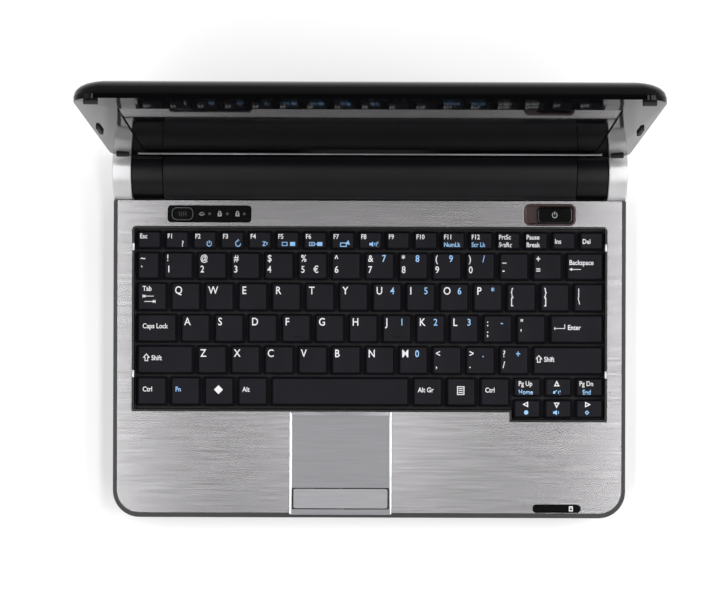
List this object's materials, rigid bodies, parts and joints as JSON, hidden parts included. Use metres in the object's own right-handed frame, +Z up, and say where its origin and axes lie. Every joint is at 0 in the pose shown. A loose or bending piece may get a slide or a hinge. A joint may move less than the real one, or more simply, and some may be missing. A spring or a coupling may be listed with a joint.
{
  "type": "netbook laptop computer",
  "caption": "Small folding netbook with a silver deck, black keys, a glossy black lid on a friction hinge and a round battery along its rear.",
  "frame": {"origin": "on the table under the middle of the open laptop, centred on its overall box", "axes": "+Z up, +Y from the user to the lid, +X to the right along the width"},
  "size_m": [0.26, 0.2064, 0.1912],
  "materials": {
    "deck_silver": "brushed across the width",
    "case_grey": "satin dark grey",
    "cap_silver": "satin silver",
    "piano_black": "high gloss black",
    "satin_black": "satin black",
    "key_charcoal": "fine matt charcoal with printed legends",
    "screen": "dark glossy screen",
    "rubber_black": "matt rubber",
    "steel": "bright steel",
    "board_green": "circuit board",
    "component_black": "moulded black",
    "copper": "plain copper",
    "drive_metal": "cast and painted",
    "cell_wrap": "shrink sleeve",
    "light_pipe": "clear light guides"
  },
  "bodies": {
    "base": {"bottom_case": "case_grey", "top_case": "case_grey", "deck_panel": "deck_silver", "keyboard_tray": "satin_black", "dome_sheet": "rubber_black", "keyboard_clips": "steel", "touchpad": "deck_silver", "status_panel": "piano_black", "status_lights": "light_pipe", "power_surround": "piano_black", "card_label": "piano_black", "battery_case": "satin_black", "battery_cells": "cell_wrap", "hinge_cap_left": "cap_silver", "hinge_cap_right": "cap_silver", "hinge_bracket_left": "steel", "hinge_bracket_right": "steel", "rubber_feet": "rubber_black", "memory_door": "case_grey", "drive_door": "case_grey", "case_screws": "steel", "motherboard": "board_green", "board_chips": "component_black", "heatsink": "copper", "fan_housing": "component_black", "hard_drive": "drive_metal", "memory_module": "board_green", "wireless_card": "board_green", "speaker_left": "component_black", "speaker_right": "component_black", "usb_ports": "steel", "audio_jacks": "component_black", "power_inlet": "component_black", "card_reader": "component_black"},
    "lid": {"lid_cover": "piano_black", "lid_bezel": "piano_black", "display_panel": "screen", "lid_bumpers": "rubber_black", "knuckle_left": "piano_black", "knuckle_right": "piano_black", "lid_bracket_left": "steel", "lid_bracket_right": "steel"},
    "touchpad_button": {"touchpad_button": "deck_silver"},
    "wireless_slider": {"wireless_slider": "piano_black"},
    "power_slider": {"power_slider": "piano_black"},
    "battery_latch_left": {"battery_latch_left": "case_grey"},
    "battery_latch_right": {"battery_latch_right": "case_grey"},
    "fan_rotor": {"fan_rotor": "component_black"},
    "function_keys": {"function_keys": "key_charcoal"},
    "digit_keys": {"digit_keys": "key_charcoal"},
    "upper_letter_keys": {"upper_letter_keys": "key_charcoal"},
    "home_letter_keys": {"home_letter_keys": "key_charcoal"},
    "lower_letter_keys": {"lower_letter_keys": "key_charcoal"},
    "left_shift_key": {"left_shift_key": "key_charcoal"},
    "right_shift_key": {"right_shift_key": "key_charcoal"},
    "enter_key": {"enter_key": "key_charcoal"},
    "left_modifier_keys": {"left_modifier_keys": "key_charcoal"},
    "right_modifier_keys": {"right_modifier_keys": "key_charcoal"},
    "space_bar": {"space_bar": "key_charcoal"},
    "arrow_keys": {"arrow_keys": "key_charcoal"}
  },
  "joints": [
    {"name": "lid_hinge", "type": "hinge", "parent": "base", "child": "lid", "pos_m": [0, 0.07175, 0.0175], "axis": [-1, 0, 0], "range_deg": [-95.3, 35]},
    {"name": "button_rock", "type": "hinge", "parent": "base", "child": "touchpad_button", "pos_m": [-0.0145, -0.0937, 0.0199], "axis": [0, 1, 0], "range_deg": [-1.2, 1.2], "stiffness_Nm_per_rad": 0.6},
    {"name": "wireless_slide", "type": "slide", "parent": "base", "child": "wireless_slider", "axis": [1, 0, 0], "range_m": [0, 0.0025]},
    {"name": "power_slide", "type": "slide", "parent": "base", "child": "power_slider", "axis": [-1, 0, 0], "range_m": [0, 0.005], "stiffness_N_per_m": 120},
    {"name": "battery_lock_slide", "type": "slide", "parent": "base", "child": "battery_latch_left", "axis": [1, 0, 0], "range_m": [0, 0.006]},
    {"name": "battery_release_slide", "type": "slide", "parent": "base", "child": "battery_latch_right", "axis": [1, 0, 0], "range_m": [0, 0.006], "stiffness_N_per_m": 150},
    {"name": "fan_spin", "type": "hinge", "parent": "base", "child": "fan_rotor", "pos_m": [-0.092, 0.01945, 0.0075], "axis": [0, 0, 1], "continuous": true},
    {"name": "function_keys_press", "type": "slide", "parent": "base", "child": "function_keys", "axis": [0, 0, -1], "range_m": [0, 0.002], "stiffness_N_per_m": 2550},
    {"name": "digit_keys_press", "type": "slide", "parent": "base", "child": "digit_keys", "axis": [0, 0, -1], "range_m": [0, 0.002], "stiffness_N_per_m": 2100},
    {"name": "upper_letter_keys_press", "type": "slide", "parent": "base", "child": "upper_letter_keys", "axis": [0, 0, -1], "range_m": [0, 0.002], "stiffness_N_per_m": 2100},
    {"name": "home_letter_keys_press", "type": "slide", "parent": "base", "child": "home_letter_keys", "axis": [0, 0, -1], "range_m": [0, 0.002], "stiffness_N_per_m": 1800},
    {"name": "lower_letter_keys_press", "type": "slide", "parent": "base", "child": "lower_letter_keys", "axis": [0, 0, -1], "range_m": [0, 0.002], "stiffness_N_per_m": 1500},
    {"name": "left_shift_key_press", "type": "slide", "parent": "base", "child": "left_shift_key", "axis": [0, 0, -1], "range_m": [0, 0.002], "stiffness_N_per_m": 150},
    {"name": "right_shift_key_press", "type": "slide", "parent": "base", "child": "right_shift_key", "axis": [0, 0, -1], "range_m": [0, 0.002], "stiffness_N_per_m": 150},
    {"name": "enter_key_press", "type": "slide", "parent": "base", "child": "enter_key", "axis": [0, 0, -1], "range_m": [0, 0.002], "stiffness_N_per_m": 150},
    {"name": "left_modifier_keys_press", "type": "slide", "parent": "base", "child": "left_modifier_keys", "axis": [0, 0, -1], "range_m": [0, 0.002], "stiffness_N_per_m": 600},
    {"name": "right_modifier_keys_press", "type": "slide", "parent": "base", "child": "right_modifier_keys", "axis": [0, 0, -1], "range_m": [0, 0.002], "stiffness_N_per_m": 450},
    {"name": "space_bar_press", "type": "slide", "parent": "base", "child": "space_bar", "axis": [0, 0, -1], "range_m": [0, 0.002], "stiffness_N_per_m": 150},
    {"name": "arrow_keys_press", "type": "slide", "parent": "base", "child": "arrow_keys", "axis": [0, 0, -1], "range_m": [0, 0.002], "stiffness_N_per_m": 900}
  ]
}
